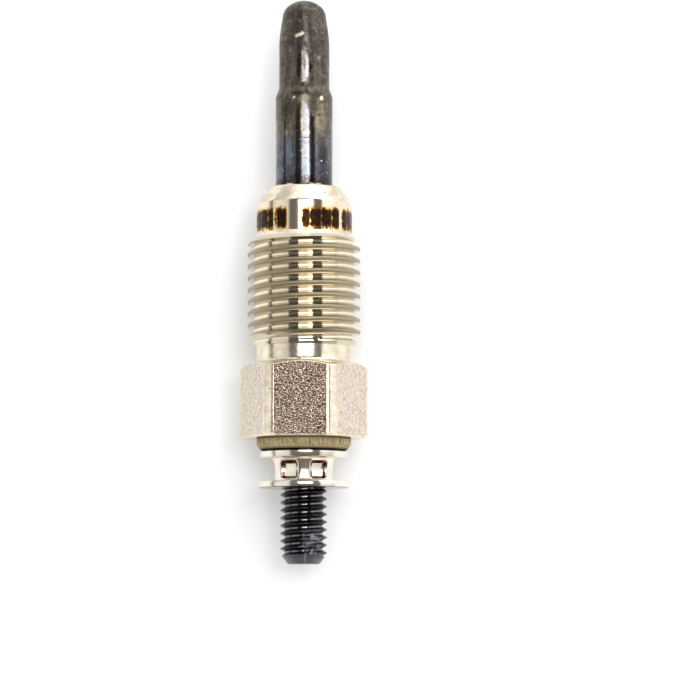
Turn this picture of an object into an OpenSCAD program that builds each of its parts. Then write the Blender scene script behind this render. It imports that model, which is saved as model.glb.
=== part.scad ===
// Diesel glow plug. A steel housing with a screw thread and a hexagon grips a heating rod in its
// nose, and a terminal electrode leaves its rear end through an insulating bush and a round nut.
// The plug lies on one flat of its hexagon. Its axis runs along Y with the glow tip towards +Y,
// and the origin is on the resting surface, under the middle of the plug's length.

/* [Terminal electrode] */
// Outside diameter of the terminal thread
stud_d = 4.85; // [4.75:0.05:5]
// Length of the stud behind the round nut
stud_len = 7.9; // [6:0.1:14]
// Diameter of the stud's end face
stud_end_d = 3.35; // [2.8:0.05:4]
// Length of the chamfer at the stud's end
stud_chamfer_len = 1.05; // [0.4:0.05:1.5]
// Diameter of the electrode where the round nut is crimped on it
crimp_d = 4.5; // [4.2:0.05:4.7]
// Diameter of the electrode's shank inside the housing
shank_d = 4.9; // [4.8:0.05:5.2]
// Length of the cone from the shank down to the pin
shank_cone_len = 1; // [0.5:0.1:2]
// Diameter of the electrode's pin inside the tube
pin_d = 3; // [2.6:0.1:3.4]
// Length of the pin's spigot inside the regulating coil
spigot_len = 1.4; // [0.8:0.1:2]

/* [Round nut] */
// Length of the nut, seat included
nut_len = 4; // [3.4:0.1:6]
// Diameter of the flange on the terminal side
nut_rear_d = 9.45; // [8.6:0.05:10]
// Thickness of the flange on the terminal side
nut_rear_t = 0.68; // [0.5:0.02:1]
// Diameter of the flange on the washer side
nut_front_d = 9.15; // [8.6:0.05:10]
// Thickness of the flange on the washer side
nut_front_t = 0.72; // [0.5:0.02:1]
// Diameter of the raised seat that presses on the washer
nut_seat_d = 8; // [7:0.1:8.4]
// Height of the raised seat
nut_seat_h = 0.15; // [0.05:0.05:0.3]
// Diameter of the waist between the flanges
nut_waist_d = 6.5; // [6.2:0.1:7.5]
// Radius of the fillets at the ends of the waist
nut_fillet = 0.3; // [0.1:0.05:0.4]
// Chamfer on the edges of the flanges
nut_edge = 0.1; // [0.05:0.05:0.2]
// Length of the countersink round the stud
nut_countersink_len = 0.4; // [0.2:0.05:0.6]
// Radial clearance of the countersink round the stud
nut_countersink_gap = 0.15; // [0.05:0.05:0.3]
// Number of crimp dimples round the waist
dimple_count = 6; // [4:1:7]
// Width of a dimple at its mouth
dimple_mouth = 1.85; // [1.4:0.05:2]
// Width of a dimple at its floor
dimple_floor = 1.2; // [0.8:0.05:1.4]
// Depth of a dimple below the waist
dimple_depth = 0.45; // [0.2:0.05:0.6]
// Diameter of the rounding of a dimple's corners, over its width
dimple_corner = 1.2; // [1.05:0.05:1.4]
// Turn of the ring of dimples about the plug's axis
dimple_turn = 4; // [0:1:59]

/* [Insulating washer] */
// Thickness of the washer between the round nut and the housing
washer_t = 1.2; // [0.9:0.05:2]
// Diameter of the washer on the housing's face
washer_d = 9.85; // [9:0.05:10.5]
// Diameter of the washer on the nut's side
washer_rear_d = 9.25; // [8.6:0.05:9.8]
// Length of the washer's tapered rim
washer_taper_len = 0.55; // [0.2:0.05:0.8]
// Length of the washer's collar inside the housing
collar_len = 2; // [1.2:0.1:3]
// Radial clearance of the collar in the housing and on the shank
collar_gap = 0.05; // [0.02:0.01:0.1]

/* [Housing seal] */
// Thickness of the sealing ring's cord
ring_cord_d = 1.5; // [1.2:0.05:1.6]
// Clearance between the sealing ring and its seat
seal_gap = 0.02; // [0.01:0.01:0.05]

/* [Housing] */
// Width of the hexagon across its flats
hex_af = 12; // [11:0.5:14]
// Depth turned off the hexagon's corners
hex_corner_cut = 0.25; // [0.1:0.05:0.4]
// Length of the hexagon
hex_len = 7.75; // [6:0.25:12]
// Width of the land left inside the flats by the front chamfer
hex_front_land = 0.1; // [0.05:0.05:0.4]
// Slope of the hexagon's front chamfer from the face
hex_front_slope = 30; // [15:1:45]
// Chamfer on the hexagon's rear corners
hex_rear_edge = 0.15; // [0.05:0.05:0.4]
// Diameter of the neck in front of the hexagon
neck_d = 10; // [9.6:0.1:10.6]
// Length of the neck, fillet included
neck_len = 2.35; // [1.5:0.05:6]
// Radius of the fillet between the neck and the hexagon
neck_fillet = 0.5; // [0.2:0.05:0.7]
// Outside diameter of the housing's thread
thread_d = 11.85; // [11.7:0.05:12]
// Length of the thread, lead-in and run-out included
thread_len = 11; // [8:0.1:20]
// Length of the thread's lead-in cone at the nose
thread_lead_len = 0.8; // [0.4:0.1:1.5]
// Length of the thread's run-out cone at the neck
thread_runout_len = 0.7; // [0.4:0.1:1.5]
// Diameter of the nose in front of the thread
nose_d = 10.05; // [9.6:0.05:10.4]
// Length of the nose's straight part
nose_len = 3.5; // [2:0.05:8]
// Angle of the sealing cone, from side to side
seat_angle = 66; // [55:1:93]
// Diameter of the sealing cone's front end
seat_front_d = 8.1; // [7:0.1:8.8]
// Length of the rounded-off edge in front of the cone
nose_edge = 0.2; // [0.1:0.05:0.4]
// Diameter of the bore behind the tube
bore_d = 6.8; // [6.5:0.1:7.4]
// Length of the press fit on the tube
press_len = 9; // [6:0.5:10]

/* [Glow tube] */
// Outside diameter of the tube in the housing
tube_d = 6; // [5.7:0.1:6.3]
// Outside diameter of the swaged front part
tip_d = 5.3; // [5:0.05:5.6]
// Diameter where the front part meets the dome
dome_d = 4.6; // [4.4:0.05:4.9]
// Height of the dome
dome_h = 1.8; // [1.6:0.05:2]
// Radius of the dome's rounded shoulder
dome_shoulder = 1.5; // [1.2:0.05:1.55]
// Length of the taper behind the dome
taper_len = 3.2; // [2:0.1:4]
// Length of the straight part behind the taper
tip_straight_len = 3.9; // [2:0.1:6]
// Length of the flare from the front part to the full tube
flare_len = 1.6; // [0.8:0.1:2.5]
// Length of the tube in front of the nose
tube_reach = 20.05; // [18:0.05:26]
// Length of the tube inside the housing
tube_hold = 12; // [10:0.5:14]
// Wall thickness of the tube
tube_wall = 0.65; // [0.5:0.05:0.75]
// Thickness of the tube's closed end
tip_wall = 0.9; // [0.7:0.05:1.2]

/* [Heating rod] */
// Mean diameter of both coils
coil_d = 2.4; // [2.2:0.05:2.5]
// Diameter of the heating coil's wire
heating_wire_d = 0.36; // [0.3:0.02:0.4]
// Number of turns of the heating coil
heating_turns = 9; // [6:1:11]
// Rise of the heating coil in one turn
heating_pitch = 0.6; // [0.5:0.02:0.7]
// Diameter of the regulating coil's wire
regulating_wire_d = 0.3; // [0.24:0.02:0.36]
// Number of turns of the regulating coil
regulating_turns = 13; // [8:1:16]
// Rise of the regulating coil in one turn
regulating_pitch = 0.7; // [0.5:0.02:0.8]
// Length of the heating coil's tail to the tube's end
tail_rise = 1; // [0.8:0.05:1.4]
// Turns in which the tail closes in
tail_turns = 0.75; // [0.5:0.25:1]
// Distance of the tail's end from the axis
tail_end_r = 0.35; // [0.3:0.05:0.6]
// Clearance between a coil and what it meets
coil_gap = 0.05; // [0.02:0.01:0.1]
// Length of the seal in the tube's open end
tube_seal_len = 2.5; // [1.5:0.1:4]
// Gap that keeps the shank off the tube
shank_gap = 0.5; // [0.3:0.1:1]

/* [Hidden] */
$fn = 96;
wire_sides = 6;
steps_per_turn = 12;
cut_over = 1;

// Stations along the plug's axis, from the end of the stud
nut_z = stud_len;
washer_z = nut_z + nut_len;
hex_z = washer_z + washer_t;
neck_z = hex_z + hex_len;
thread_z = neck_z + neck_len;
nose_z = thread_z + thread_len;
seat_z = nose_z + nose_len;
seat_len = (nose_d - seat_front_d) / 2 / tan(seat_angle / 2);
nose_face_z = seat_z + seat_len + nose_edge;
flare_z = nose_face_z + tube_reach - dome_h - taper_len - tip_straight_len - flare_len;
dome_z = nose_face_z + tube_reach - dome_h;
overall_len = nose_face_z + tube_reach;

// Seats inside the housing
counterbore_r = shank_d / 2 + ring_cord_d + 2 * seal_gap;
ring_z = hex_z + collar_len + seal_gap + ring_cord_d / 2;
ring_seat_z = ring_z + ring_cord_d / 2 + seal_gap;
press_z = nose_face_z - press_len;
tube_z = nose_face_z - tube_hold;
shank_end_z = tube_z - shank_gap;

// Inside of the tube and stations of the coils
inside_end_z = overall_len - tip_wall;
inside_end_r = dome_d / 2 - tube_wall;
fill_z = tube_z + tube_seal_len;
heating_front_z = inside_end_z - coil_gap - heating_wire_d / 2 - tail_rise;
heating_z = heating_front_z - heating_turns * heating_pitch;
regulating_z = heating_z - regulating_turns * regulating_pitch;
pin_end_z = regulating_z - regulating_wire_d / 2 - coil_gap;
spigot_r = coil_d / 2 - regulating_wire_d / 2 - coil_gap;
weld_turn = 360 * coil_gap / (PI * coil_d);

// Turns a piece that is drawn along Z to lie along Y on the hexagon's flat
module lay_down() {
    translate([0, -overall_len / 2, hex_af / 2])
        rotate([-90, 0, 0])
            children();
}

// Concave corner between a cylinder of radius r and a face, drawn for a revolve
module inside_fillet(r, z, size, up) {
    difference() {
        translate([r, up ? z : z - size])
            square(size);
        translate([r + size, up ? z + size : z - size])
            circle(size);
    }
}

// Housing in front of the hexagon: neck, thread blank, nose and sealing cone
module turned_front() {
    rotate_extrude() {
        polygon([
            [0, hex_z + hex_len / 2],
            [neck_d / 2, hex_z + hex_len / 2],
            [neck_d / 2, thread_z],
            [thread_d / 2, thread_z + thread_runout_len],
            [thread_d / 2, nose_z - thread_lead_len],
            [nose_d / 2, nose_z],
            [nose_d / 2, seat_z],
            [seat_front_d / 2, seat_z + seat_len],
            [seat_front_d / 2 - nose_edge, nose_face_z],
            [0, nose_face_z]
        ]);
        inside_fillet(neck_d / 2, neck_z, neck_fillet, true);
    }
}

// Hexagon with its corners turned down and its ends chamfered
module hexagon() {
    corner_r = hex_af / 2 / cos(30) - hex_corner_cut;
    front_r = hex_af / 2 - hex_front_land;
    intersection() {
        translate([0, 0, hex_z])
            linear_extrude(hex_len)
                circle(hex_af / 2 / cos(30), $fn = 6);
        rotate_extrude()
            polygon([
                [0, hex_z],
                [corner_r - hex_rear_edge, hex_z],
                [corner_r, hex_z + hex_rear_edge],
                [corner_r, neck_z - (corner_r - front_r) * tan(hex_front_slope)],
                [front_r, neck_z],
                [0, neck_z]
            ]);
    }
}

// Stepped bore through the housing
module body_bore() {
    rotate_extrude()
        polygon([
            [0, hex_z - cut_over],
            [counterbore_r, hex_z - cut_over],
            [counterbore_r, ring_seat_z],
            [bore_d / 2, ring_seat_z],
            [bore_d / 2, press_z],
            [tube_d / 2, press_z],
            [tube_d / 2, nose_face_z + cut_over],
            [0, nose_face_z + cut_over]
        ]);
}

// Nickel-plated steel housing, turned from hexagon bar
module plug_body() {
    color("silver")
        lay_down()
            difference() {
                union() {
                    hexagon();
                    turned_front();
                }
                body_bore();
            }
}

// Half section of a domed end: a crown that runs into a rounded shoulder at the base radius
module dome_section(base_r, z) {
    inner_r = base_r - dome_shoulder;
    rise = dome_h - dome_shoulder;
    crown_drop = (inner_r * inner_r - rise * rise) / (2 * rise);
    crown_r = dome_h + crown_drop;
    tangent_x = 2 * inner_r * crown_r / (crown_r - dome_shoulder);
    tangent_z = 2 * crown_drop * crown_r / (crown_r - dome_shoulder);
    intersection() {
        translate([0, z - crown_drop])
            circle(crown_r);
        polygon([
            [0, z - crown_drop],
            [tangent_x, z - crown_drop + tangent_z],
            [0, z - crown_drop + 2 * crown_r]
        ]);
    }
    intersection() {
        translate([inner_r, z])
            circle(dome_shoulder);
        translate([0, z])
            square([base_r, dome_h]);
    }
    translate([0, z])
        square([inner_r, rise]);
}

// Half section of the tube's outside
module tube_outside() {
    polygon([
        [0, tube_z],
        [tube_d / 2, tube_z],
        [tube_d / 2, flare_z],
        [tip_d / 2, flare_z + flare_len],
        [tip_d / 2, flare_z + flare_len + tip_straight_len],
        [dome_d / 2, dome_z],
        [0, dome_z]
    ]);
    dome_section(dome_d / 2, dome_z);
}

// Half section of the space inside the tube, from a station forwards
module tube_inside(z) {
    polygon([
        [0, z],
        [tube_d / 2 - tube_wall, z],
        [tube_d / 2 - tube_wall, flare_z],
        [tip_d / 2 - tube_wall, flare_z + flare_len],
        [tip_d / 2 - tube_wall, flare_z + flare_len + tip_straight_len],
        [inside_end_r, inside_end_z - inside_end_r],
        [0, inside_end_z - inside_end_r]
    ]);
    intersection() {
        translate([0, inside_end_z - inside_end_r])
            circle(inside_end_r);
        translate([0, inside_end_z - inside_end_r])
            square(inside_end_r);
    }
}

// Heat-proof alloy tube with a swaged front and a closed, domed tip
module glow_tube() {
    color("dimgray")
        lay_down()
            rotate_extrude()
                difference() {
                    tube_outside();
                    tube_inside(tube_z - cut_over);
                }
}

function unit(v) = v / norm(v);

// Points along a wire wound right-handed round the axis, from an angle to an angle
function coil_path(z, pitch, from, to) = [
    for (i = [0 : ceil((to - from) / 360 * steps_per_turn)])
        let (a = min(from + 360 * i / steps_per_turn, to))
        [coil_d / 2 * cos(a), coil_d / 2 * sin(a), z + pitch * a / 360]
];

// Points along the heating coil's tail, which closes in on the axis as it rises
function tail_path(z, from) = [
    for (i = [1 : tail_turns * steps_per_turn])
        let (
            share = i / (tail_turns * steps_per_turn),
            a = from + 360 * tail_turns * share,
            r = coil_d / 2 + (tail_end_r - coil_d / 2) * share
        )
        [r * cos(a), r * sin(a), z + tail_rise * share]
];

// Round wire swept along a path that never runs straight up the axis
module swept_wire(path, wire_d) {
    last = len(path) - 1;
    points = [
        for (i = [0 : last])
            let (
                along = unit(path[min(i + 1, last)] - path[max(i - 1, 0)]),
                out = unit(cross(along, [0, 0, 1])),
                up = cross(out, along)
            )
            for (k = [0 : wire_sides - 1])
                let (a = 360 * k / wire_sides)
                path[i] + wire_d / 2 * (cos(a) * out + sin(a) * up)
    ];
    walls = [
        for (i = [0 : last - 1], k = [0 : wire_sides - 1])
            let (
                here = i * wire_sides + k,
                next = i * wire_sides + (k + 1) % wire_sides
            )
            each [
                [here, next, next + wire_sides],
                [here, next + wire_sides, here + wire_sides]
            ]
    ];
    ends = [
        [for (k = [0 : wire_sides - 1]) wire_sides - 1 - k],
        [for (k = [0 : wire_sides - 1]) last * wire_sides + k]
    ];
    polyhedron(points, concat(walls, ends));
}

module heating_wire() {
    path = concat(
        coil_path(heating_z, heating_pitch, weld_turn, 360 * heating_turns),
        tail_path(heating_front_z, 360 * heating_turns)
    );
    swept_wire(path, heating_wire_d);
}

module regulating_wire() {
    path = coil_path(regulating_z, regulating_pitch, 0, 360 * regulating_turns - weld_turn);
    swept_wire(path, regulating_wire_d);
}

// Resistance wire that glows, welded into the tube's tip
module heating_coil() {
    color("sienna")
        lay_down()
            heating_wire();
}

// Wire whose resistance rises with heat, between the heating coil and the electrode
module regulating_coil() {
    color("darkkhaki")
        lay_down()
            regulating_wire();
}

// Packed magnesia powder that holds the coils and keeps them off the tube
module magnesia_fill() {
    color("white")
        lay_down()
            difference() {
                rotate_extrude()
                    difference() {
                        tube_inside(fill_z);
                        translate([0, fill_z - cut_over])
                            square([pin_d / 2, pin_end_z - fill_z + cut_over]);
                        translate([0, fill_z])
                            square([spigot_r, pin_end_z + spigot_len - fill_z]);
                    }
                heating_wire();
                regulating_wire();
            }
}

// Rubber seal between the pin and the tube's open end
module tube_seal() {
    color("darkred")
        lay_down()
            rotate_extrude()
                translate([pin_d / 2, tube_z])
                    square([(tube_d - pin_d) / 2 - tube_wall, tube_seal_len]);
}

// Blackened steel electrode: terminal stud, shank, pin and spigot in one piece
module centre_electrode() {
    color("black")
        lay_down()
            rotate_extrude()
                polygon([
                    [0, 0],
                    [stud_end_d / 2, 0],
                    [stud_d / 2, stud_chamfer_len],
                    [stud_d / 2, nut_z],
                    [crimp_d / 2, nut_z],
                    [crimp_d / 2, washer_z],
                    [shank_d / 2, washer_z],
                    [shank_d / 2, shank_end_z - shank_cone_len],
                    [pin_d / 2, shank_end_z],
                    [pin_d / 2, pin_end_z],
                    [spigot_r, pin_end_z],
                    [spigot_r, pin_end_z + spigot_len],
                    [0, pin_end_z + spigot_len]
                ]);
}

// Rubber ring that seals the shank in the housing
module body_seal_ring() {
    color("darkslategray")
        lay_down()
            rotate_extrude()
                translate([shank_d / 2 + seal_gap + ring_cord_d / 2, ring_z])
                    circle(ring_cord_d / 2);
}

// Fibre washer with a collar that keeps the electrode off the housing
module insulating_washer() {
    bore_r = shank_d / 2 + collar_gap;
    collar_r = counterbore_r - collar_gap;
    color("tan")
        lay_down()
            rotate_extrude()
                polygon([
                    [bore_r, washer_z],
                    [washer_rear_d / 2, washer_z],
                    [washer_d / 2, washer_z + washer_taper_len],
                    [washer_d / 2, hex_z],
                    [collar_r, hex_z],
                    [collar_r, hex_z + collar_len],
                    [bore_r, hex_z + collar_len]
                ]);
}

// Four-sided pit with rounded corners, pressed towards the axis from +X
module dimple() {
    waist_r = nut_waist_d / 2;
    floor_x = waist_r - dimple_depth;
    reach = dimple_depth + nut_fillet;
    top = dimple_floor + (dimple_mouth - dimple_floor) * reach / dimple_depth;
    side = [
        [floor_x, -dimple_floor / 2],
        [floor_x + reach, -top / 2],
        [floor_x + reach, top / 2],
        [floor_x, dimple_floor / 2]
    ];
    intersection() {
        linear_extrude(2 * top, center = true)
            polygon(side);
        rotate([90, 0, 0])
            linear_extrude(2 * top, center = true)
                polygon(side);
        translate([floor_x, 0, 0])
            rotate([0, 90, 0])
                cylinder(reach, d1 = dimple_floor * dimple_corner, d2 = top * dimple_corner);
    }
}

// Nickel-plated round nut, crimped on the electrode by a ring of dimples
module round_nut() {
    waist_z = nut_z + nut_rear_t;
    front_z = washer_z - nut_seat_h - nut_front_t;
    rear_r = nut_rear_d / 2;
    front_r = nut_front_d / 2;
    color("silver")
        lay_down()
            difference() {
                rotate_extrude() {
                    polygon([
                        [crimp_d / 2, nut_z + nut_countersink_len],
                        [stud_d / 2 + nut_countersink_gap, nut_z],
                        [rear_r - nut_edge, nut_z],
                        [rear_r, nut_z + nut_edge],
                        [rear_r, waist_z - nut_edge],
                        [rear_r - nut_edge, waist_z],
                        [nut_waist_d / 2, waist_z],
                        [nut_waist_d / 2, front_z],
                        [front_r - nut_edge, front_z],
                        [front_r, front_z + nut_edge],
                        [front_r, front_z + nut_front_t - nut_edge],
                        [front_r - nut_edge, front_z + nut_front_t],
                        [nut_seat_d / 2, front_z + nut_front_t],
                        [nut_seat_d / 2, washer_z],
                        [crimp_d / 2, washer_z]
                    ]);
                    inside_fillet(nut_waist_d / 2, waist_z, nut_fillet, true);
                    inside_fillet(nut_waist_d / 2, front_z, nut_fillet, false);
                }
                for (i = [0 : dimple_count - 1])
                    translate([0, 0, (waist_z + front_z) / 2])
                        rotate([0, 0, dimple_turn + 360 * i / dimple_count])
                            dimple();
            }
}

plug_body();
glow_tube();
heating_coil();
regulating_coil();
magnesia_fill();
tube_seal();
centre_electrode();
body_seal_ring();
insulating_washer();
round_nut();
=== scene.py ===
import math
from functools import partial

import bpy
from mathutils import Matrix, Vector, noise


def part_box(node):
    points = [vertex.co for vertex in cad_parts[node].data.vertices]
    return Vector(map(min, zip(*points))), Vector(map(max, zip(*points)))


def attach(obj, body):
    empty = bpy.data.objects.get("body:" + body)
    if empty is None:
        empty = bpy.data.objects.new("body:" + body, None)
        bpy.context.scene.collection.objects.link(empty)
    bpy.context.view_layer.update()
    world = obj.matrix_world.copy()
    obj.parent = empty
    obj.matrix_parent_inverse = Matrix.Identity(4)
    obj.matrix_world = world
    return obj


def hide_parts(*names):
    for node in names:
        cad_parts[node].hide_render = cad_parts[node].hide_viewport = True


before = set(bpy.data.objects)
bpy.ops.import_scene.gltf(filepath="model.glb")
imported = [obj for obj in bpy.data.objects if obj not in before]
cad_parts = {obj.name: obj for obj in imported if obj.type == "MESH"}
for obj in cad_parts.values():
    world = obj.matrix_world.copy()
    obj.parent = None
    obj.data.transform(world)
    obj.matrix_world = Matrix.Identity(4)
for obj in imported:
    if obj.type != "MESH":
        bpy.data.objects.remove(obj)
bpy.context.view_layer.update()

# Centre electrode: one steel pin with the terminal stud at its rear, then the shank, the pin and the
# spigot that carries the coils. The stud's M5 thread is rolled, its end is chamfered, and the steel is
# blackened in a hot oxide bath.
mm = 0.001
axis_z = (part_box("plug_body")[0].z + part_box("plug_body")[1].z) / 2


class TurnedPiece:
    """A piece built ring by ring round the plug's axis, from its rear end forwards.

    Angle 0 points up and a quarter turn points to +X. Rings are joined by skin, and a closed piece
    with a bore comes back to its first ring.
    """

    def __init__(self, angles):
        self.angles = angles
        self.points = []
        self.faces = []
        self.finishes = []

    def point(self, angle, radius, y):
        """Adds one point and gives its number."""
        self.points.append((radius * math.sin(angle), y, axis_z + radius * math.cos(angle)))
        return len(self.points) - 1

    def ring(self, radius, y):
        """One ring of points. The radius and y are numbers, or functions of the angle."""
        return [
            self.point(a, radius(a) if callable(radius) else radius, y(a) if callable(y) else y)
            for a in self.angles
        ]

    def pole(self, y):
        """A ring that has shrunk to one point on the axis."""
        return [self.point(0, 0, y)] * len(self.angles)

    def face(self, corners, finish):
        """Adds a face without its repeated corners, unless it has shrunk to a line."""
        corners = list(dict.fromkeys(corners))
        if len(corners) > 2:
            self.faces.append(corners)
            self.finishes.append(finish)

    def skin(self, *rings, finish=0):
        """Joins each ring to the next. A new ring is given as its radius and y.

        The finish is a material's number, or a function of the angle.
        """
        count = len(self.angles)
        rings = [self.ring(*ring) if isinstance(ring, tuple) else ring for ring in rings]
        for low, high in zip(rings, rings[1:]):
            for i in range(count):
                j = (i + 1) % count
                here = finish(self.angles[i]) if callable(finish) else finish
                self.face((low[i], low[j], high[j], high[i]), here)

    def thread(self, low, high, start, end, pitch, profile, radius, finish=0):
        """A right-hand helix of profile rows between two rings, cut off at the start and the end."""
        count = len(self.angles)
        made = {}

        def corner(i, row):
            if i == count:
                i, row = 0, row + len(profile)
            turn, place = divmod(row, len(profile))
            along, drop = profile[place]
            y = start + (turn - 2) * pitch + along + pitch * self.angles[i] / math.tau
            if y <= start:
                return low[i]
            if y >= end:
                return high[i]
            if (i, row) not in made:
                made[i, row] = self.point(self.angles[i], radius(drop, y, self.angles[i]), y)
            return made[i, row]

        rows = math.ceil((end - start) / pitch + 2) * len(profile)
        for row in range(rows):
            for i in range(count):
                around = (corner(i, row), corner(i + 1, row), corner(i + 1, row + 1), corner(i, row + 1))
                self.face(around, finish)

    def make(self, name, *materials, sharp=40, paint={}):
        """Makes the mesh object, smooth but for edges sharper than an angle in degrees.

        A paint is a named layer that the material reads, as a function of the angle, the radius and y.
        """
        mesh = bpy.data.meshes.new(name)
        mesh.from_pydata(self.points, [], self.faces)
        for material in materials:
            mesh.materials.append(material)
        mesh.polygons.foreach_set("material_index", self.finishes)
        mesh.polygons.foreach_set("use_smooth", [True] * len(self.faces))
        mesh.set_sharp_from_angle(angle=math.radians(sharp))
        spots = [(math.atan2(x, z - axis_z), math.hypot(x, z - axis_z), y) for x, y, z in self.points]
        for layer, amount in paint.items():
            values = [amount(*spot) for spot in spots]
            mesh.attributes.new(layer, "FLOAT", "POINT").data.foreach_set("value", values)
        piece = bpy.data.objects.new(name, mesh)
        bpy.context.collection.objects.link(piece)
        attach(piece, "root")
        return piece


def even_angles(count):
    """Angles round one turn, all the same step apart."""
    return [math.tau * i / count for i in range(count)]


def thread_profile(pitch, crest_round, root_round, crest_land, root_land, phase):
    """Rows of a 60-degree thread over one pitch, as (distance along, drop below the crest)."""
    steps = 4
    flank = math.radians(60)
    depth = math.tan(flank) * (pitch / 2 - crest_land - root_land) - crest_round - root_round
    half = []
    for step in range(steps + 1):
        tilt = flank * step / steps
        half.append((crest_land + crest_round * math.sin(tilt), crest_round * (1 - math.cos(tilt))))
    lower = []
    for step in range(steps, -1, -1):
        tilt = flank * step / steps
        along = pitch / 2 - root_land - root_round * math.sin(tilt)
        lower.append((along, depth - root_round * (1 - math.cos(tilt))))
    top, foot = half[-1], lower[0]
    half += [tuple(t + (f - t) * share for t, f in zip(top, foot)) for share in (0.06, 0.94)] + lower
    rows = [(pitch / 2 - along, drop) for along, drop in reversed(half)]
    rows += [(pitch / 2 + along, drop) for along, drop in half]
    return [(along + phase * pitch, drop) for along, drop in rows]


def smooth(share):
    """Eases a share from 0 to 1 and keeps it between them."""
    share = min(1.0, max(0.0, share))
    return share * share * (3 - 2 * share)


def patch(angle, y, turn, place, wide, long):
    """1 in the middle of a soft oval patch and 0 outside it, with turn and wide in degrees."""
    away = (math.degrees(angle) - turn + 180) % 360 - 180
    return smooth(1.6 - 1.6 * math.hypot(away / wide, (y - place) / long))


def linear(colour):
    """An sRGB hex colour as the linear RGBA that a shader takes."""
    channels = [int(colour[i:i + 2], 16) / 255 for i in (1, 3, 5)]
    return (*[c / 12.92 if c <= 0.04045 else ((c + 0.055) / 1.055) ** 2.4 for c in channels], 1.0)


def add_node(tree, kind, inputs={}, stops=(), out=None, **settings):
    """Adds a shader node with its settings, its inputs' values or links, and a colour ramp's stops.

    What comes back is the node's named output, or else the first one that it has in use.
    """
    made = tree.nodes.new("ShaderNode" + kind)
    for name, value in settings.items():
        setattr(made, name, value)
    for name, value in inputs.items():
        if isinstance(value, bpy.types.NodeSocket):
            tree.links.new(value, made.inputs[name])
        else:
            made.inputs[name].default_value = value
    for number, (place, colour) in enumerate(stops):
        ramp = made.color_ramp.elements
        stop = ramp[number] if number < 2 else ramp.new(place)
        stop.position = place
        stop.color = linear(colour)
    return made.outputs[out] if out else next((socket for socket in made.outputs if socket.enabled), None)


def new_material(name):
    """A material with an empty node tree, and the function that adds nodes to it."""
    material = bpy.data.materials.new(name)
    material.use_nodes = True
    material.node_tree.nodes.clear()
    return material, partial(add_node, material.node_tree)


stud_end, electrode_tip = (corner.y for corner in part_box("centre_electrode"))
nut_rear, nut_front = (corner.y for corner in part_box("round_nut"))
tube_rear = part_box("glow_tube")[0].y
stud_r = 2.425 * mm
stud_end_r = 1.675 * mm
stud_chamfer = 1.05 * mm
stud_pitch = 0.8 * mm
crimp_r = 2.25 * mm
shank_r = 2.45 * mm
shank_end = tube_rear - 0.5 * mm
shank_cone = 1.0 * mm
pin_r = 1.5 * mm
spigot_r = 1.0 * mm
spigot_len = 1.4 * mm
end_break = 0.08 * mm
stud_profile = thread_profile(
    stud_pitch, crest_round=0.09 * mm, root_round=0.04 * mm, crest_land=0.02 * mm, root_land=0.06 * mm,
    phase=0.6,
)
stud_root_r = stud_r - max(drop for along, drop in stud_profile)
thread_blank = 0.45 * mm
thread_fade = 0.5 * mm
root_bright = 0.06 * mm
root_fade = 0.04 * mm
bruise_drop = 0.24 * mm
bruise_grain = 0.35 * mm

# Patches of wear on the stud, as an angle in degrees, a place, a width in degrees and a length.
bruise = (27, stud_end + 2.3 * mm, 46, 2.0 * mm)
rubbed_streak = (8, stud_end + 0.6 * mm, 5, 0.8 * mm)


def stud_bruise(angle, y):
    """How far the thread is flattened, on a ragged patch where the stud has been knocked."""
    ragged = noise.noise(Vector((6 * math.sin(angle), 6 * math.cos(angle), y / bruise_grain)))
    return patch(angle, y, *bruise) * min(0.9, max(0.0, 0.5 + 0.9 * ragged))


def stud_radius(drop, y, angle):
    """Radius of the thread, which starts out of the chamfer at the stud's end."""
    chamfer = stud_end_r + (stud_r - stud_end_r) * (y - stud_end) / stud_chamfer
    flattened = drop + stud_bruise(angle, y) * (bruise_drop - drop)
    started = smooth((y - stud_end - thread_blank) / thread_fade)
    return min(stud_r - flattened * started, chamfer)


def stud_bare(angle, radius, y):
    """Where the film is gone: in the roots, which the rolls left bright."""
    root = smooth((stud_root_r + root_bright - radius) / root_fade)
    return root * smooth((y - stud_end) / stud_chamfer)


def stud_worn(angle, radius, y):
    """Where the film is rubbed grey: on the bruise, on the chamfer and along a streak over it."""
    chamfer = 0.35 * smooth((stud_end + stud_chamfer - y) / (0.2 * mm))
    return max(stud_bruise(angle, y), chamfer, patch(angle, y, *rubbed_streak))


# Black oxide on rolled steel: a thin dark film, so the eye sees a near-black metal with a soft blue-grey
# gloss, bare bright steel in the thread's roots and a rubbed grey on the bruise.
black_oxide, add = new_material("black_oxide_steel")
place = add("TexCoord", out="Object")
blotch = add("TexNoise", {"Vector": place, "Scale": 1 / (1.6 * mm), "Detail": 4.0})
film = add("ValToRGB", {"Fac": blotch}, stops=((0.3, "#26262b"), (0.7, "#404047"), (0.52, "#313137")))
bare = add("Attribute", out="Fac", attribute_name="bare")
worn = add("Attribute", out="Fac", attribute_name="worn")
rolled_tone = add("Mix", {"Factor": bare, "A": film, "B": linear("#6f6d68")}, data_type="RGBA")
steel_tone = add("Mix", {"Factor": worn, "A": rolled_tone, "B": linear("#85888e")}, data_type="RGBA")
grit = add("TexNoise", {"Vector": place, "Scale": 1 / (0.12 * mm), "Detail": 3.0})
gloss = add("MapRange", {"Value": grit, "From Min": 0.3, "From Max": 0.7, "To Min": 0.14, "To Max": 0.28})
root_gloss = add("Mix", {"Factor": bare, "A": gloss, "B": 0.08}, data_type="FLOAT")
worn_gloss = add("Math", {0: worn, 1: 0.3, 2: root_gloss}, operation="MULTIPLY_ADD")
dents = add("Bump", {"Height": grit, "Strength": 0.25, "Distance": 0.02 * mm})
steel = add(
    "BsdfPrincipled", {"Base Color": steel_tone, "Metallic": 1.0, "Roughness": worn_gloss, "Normal": dents}
)
add("OutputMaterial", {"Surface": steel})

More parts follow.
